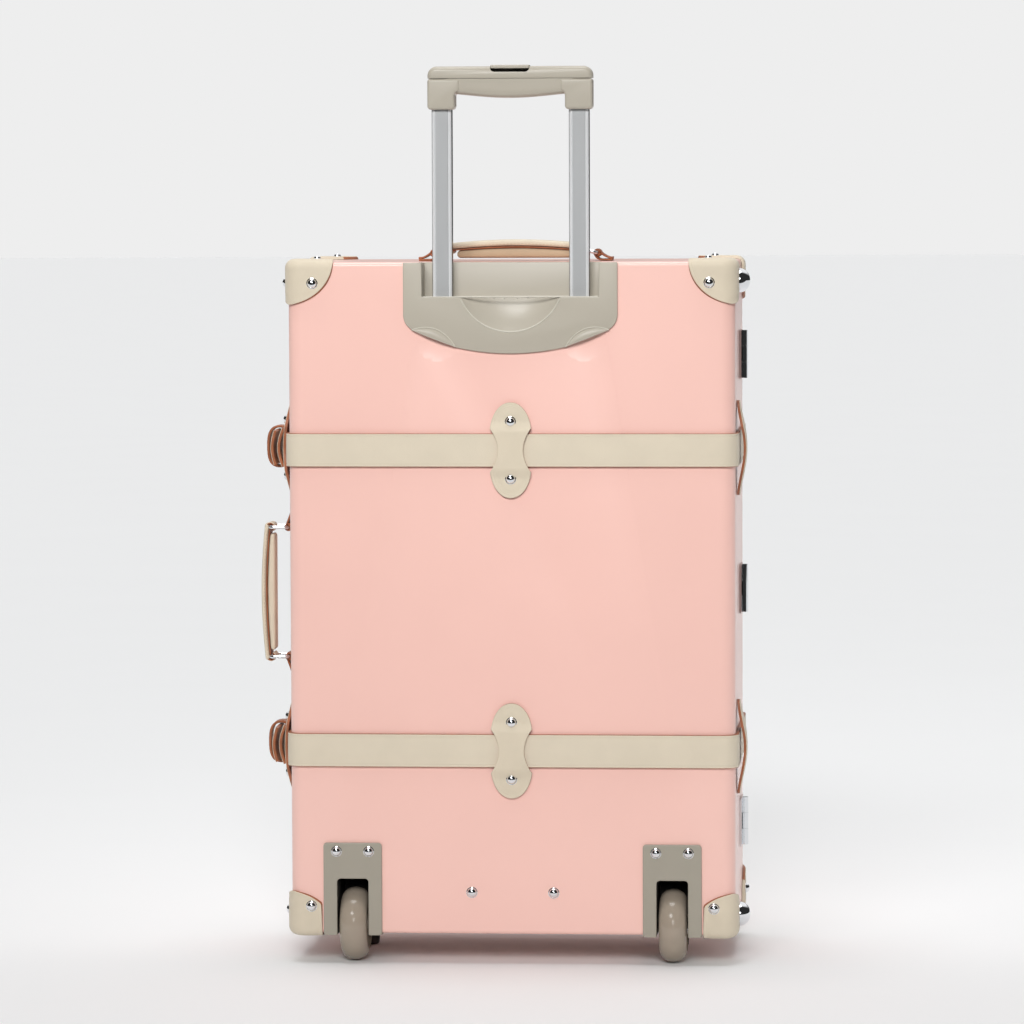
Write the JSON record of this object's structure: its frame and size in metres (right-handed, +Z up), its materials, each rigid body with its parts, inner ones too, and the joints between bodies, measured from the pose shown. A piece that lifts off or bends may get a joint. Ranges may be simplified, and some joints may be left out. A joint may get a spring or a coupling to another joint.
{
  "type": "hard shell suitcase on wheels",
  "caption": "Trunk-style hard shell suitcase with a hinged lid, telescopic trolley handle, wheels, leather straps, riveted corners and carry handles.",
  "frame": {"origin": "bottom centre of the bounding box, on the floor the wheels and feet stand on", "axes": "+Z up; +Y from the trolley side towards the lid; +X towards the hinges"},
  "size_m": [0.49, 0.2447, 0.8855],
  "materials": {
    "pink_shell": "satin-gloss moulded shell",
    "leather": "cream leather, fine grain, low sheen",
    "brown_leather": "red-brown leather tab, satin",
    "greige_plastic": "satin moulded plastic",
    "dark_plastic": "satin moulded plastic, slightly darker",
    "wheel_urethane": "glossy cast urethane",
    "rubber": "matte rubber",
    "lining": "woven polyester lining",
    "aluminium": "satin extruded aluminium",
    "chrome": "polished chrome plate",
    "steel": "drawn steel"
  },
  "bodies": {
    "case_base": {"base_shell": "pink_shell", "base_rim": "aluminium", "base_lining": "lining", "trolley_bezel": "greige_plastic", "trolley_guide": "steel", "base_corner_top_left": "leather", "base_corner_top_right": "leather", "base_corner_bottom_left": "leather", "base_corner_bottom_right": "leather", "base_strap_lower": "leather", "base_strap_upper": "leather", "back_guard_lower": "leather", "back_guard_upper": "leather", "wheel_housing_left": "dark_plastic", "wheel_housing_right": "dark_plastic", "wheel_axle_left": "steel", "wheel_axle_right": "steel", "front_foot_left": "rubber", "front_foot_right": "rubber", "side_foot_lower": "chrome", "side_foot_upper": "chrome", "hinge_base_lower": "chrome", "hinge_base_middle": "chrome", "hinge_base_upper": "chrome", "lock_case_lower": "chrome", "lock_case_upper": "chrome", "top_handle_tab_left": "brown_leather", "top_handle_tab_right": "brown_leather", "side_handle_tab_lower": "brown_leather", "side_handle_tab_upper": "brown_leather"},
    "lid": {"lid_shell": "pink_shell", "lid_lining": "lining", "lid_corner_top_left": "leather", "lid_corner_top_right": "leather", "lid_corner_bottom_left": "leather", "lid_corner_bottom_right": "leather", "lid_strap_lower": "leather", "lid_strap_upper": "leather", "hinge_lid_lower": "chrome", "hinge_lid_middle": "chrome", "hinge_lid_upper": "chrome"},
    "trolley_middle": {"trolley_middle_tube_left": "aluminium", "trolley_middle_tube_right": "aluminium"},
    "trolley_grip": {"trolley_inner_tube_left": "aluminium", "trolley_inner_tube_right": "aluminium", "handle_lower_shell": "greige_plastic", "handle_top_shell": "greige_plastic"},
    "release_button": {"release_button": "dark_plastic"},
    "wheel_left": {"wheel_left": "wheel_urethane"},
    "wheel_right": {"wheel_right": "wheel_urethane"},
    "top_handle": {"top_handle": "leather"},
    "top_ring_left": {"top_ring_left": "chrome"},
    "top_ring_right": {"top_ring_right": "chrome"},
    "side_ring_upper": {"side_ring_upper": "chrome"},
    "side_ring_lower": {"side_ring_lower": "chrome"},
    "side_handle": {"side_handle": "leather"},
    "lock_hasp_upper": {"lock_hasp_upper": "chrome"},
    "lock_hasp_lower": {"lock_hasp_lower": "chrome"},
    "lock_button_upper": {"lock_button_upper": "chrome"},
    "lock_button_lower": {"lock_button_lower": "chrome"}
  },
  "joints": [
    {"name": "lid_hinge", "type": "hinge", "parent": "case_base", "child": "lid", "pos_m": [0.2352, 0.0392, 0.362], "axis": [0, 0, -1], "range_deg": [0, 105]},
    {"name": "trolley_lower_stage", "type": "slide", "parent": "case_base", "child": "trolley_middle", "axis": [0, 0, 1], "range_m": [0, 0.18]},
    {"name": "trolley_upper_stage", "type": "slide", "parent": "trolley_middle", "child": "trolley_grip", "axis": [0, 0, 1], "range_m": [-0.183, 0]},
    {"name": "release_press", "type": "slide", "parent": "trolley_grip", "child": "release_button", "axis": [0, 0, -1], "range_m": [0, 0.0035], "stiffness_N_per_m": 600, "springref_m": -0.001},
    {"name": "wheel_left_spin", "type": "hinge", "parent": "case_base", "child": "wheel_left", "pos_m": [-0.147, -0.0858, 0.0367], "axis": [1, 0, 0], "continuous": true},
    {"name": "wheel_right_spin", "type": "hinge", "parent": "case_base", "child": "wheel_right", "pos_m": [0.169, -0.0858, 0.0367], "axis": [1, 0, 0], "continuous": true},
    {"name": "top_handle_lift", "type": "slide", "parent": "case_base", "child": "top_handle", "axis": [0, 0, 1], "range_m": [0, 0.007]},
    {"name": "top_ring_left_swing", "type": "hinge", "parent": "case_base", "child": "top_ring_left", "pos_m": [-0.07027, -0.0308, 0.701], "axis": [0, -1, 0], "range_deg": [0, 24.1]},
    {"name": "top_ring_right_swing", "type": "hinge", "parent": "case_base", "child": "top_ring_right", "pos_m": [0.09227, -0.0308, 0.701], "axis": [0, 1, 0], "range_deg": [0, 24.1]},
    {"name": "side_handle_fold", "type": "hinge", "parent": "case_base", "child": "side_ring_upper", "pos_m": [-0.217, -0.0358, 0.4283], "axis": [0, -1, 0], "range_deg": [0, 55]},
    {"name": "side_ring_lower_swing", "type": "hinge", "parent": "case_base", "child": "side_ring_lower", "pos_m": [-0.217, -0.0358, 0.2987], "axis": [0, -1, 0], "range_deg": [0, 55]},
    {"name": "side_handle_swing", "type": "hinge", "parent": "side_ring_upper", "child": "side_handle", "pos_m": [-0.2355, -0.0358, 0.4283], "axis": [0, -1, 0], "range_deg": [-55, 0]},
    {"name": "lock_hasp_upper_flip", "type": "hinge", "parent": "case_base", "child": "lock_hasp_upper", "pos_m": [-0.2152, 0.0322, 0.6145], "axis": [0, 0, 1], "range_deg": [0, 100]},
    {"name": "lock_button_upper_press", "type": "slide", "parent": "case_base", "child": "lock_button_upper", "axis": [1, 0, 0], "range_m": [0, 0.002], "stiffness_N_per_m": 500, "springref_m": -0.001},
    {"name": "lock_hasp_lower_flip", "type": "hinge", "parent": "case_base", "child": "lock_hasp_lower", "pos_m": [-0.2152, 0.0322, 0.1105], "axis": [0, 0, 1], "range_deg": [0, 100]},
    {"name": "lock_button_lower_press", "type": "slide", "parent": "case_base", "child": "lock_button_lower", "axis": [1, 0, 0], "range_m": [0, 0.002], "stiffness_N_per_m": 500, "springref_m": -0.001}
  ],
  "couplings": [
    {"joint": "top_ring_left_swing", "follows": "top_handle_lift", "rad_per_m": 59.832},
    {"joint": "top_ring_right_swing", "follows": "top_handle_lift", "rad_per_m": 59.832},
    {"joint": "side_ring_lower_swing", "follows": "side_handle_fold", "ratio": 1},
    {"joint": "side_handle_swing", "follows": "side_handle_fold", "ratio": -1}
  ]
}
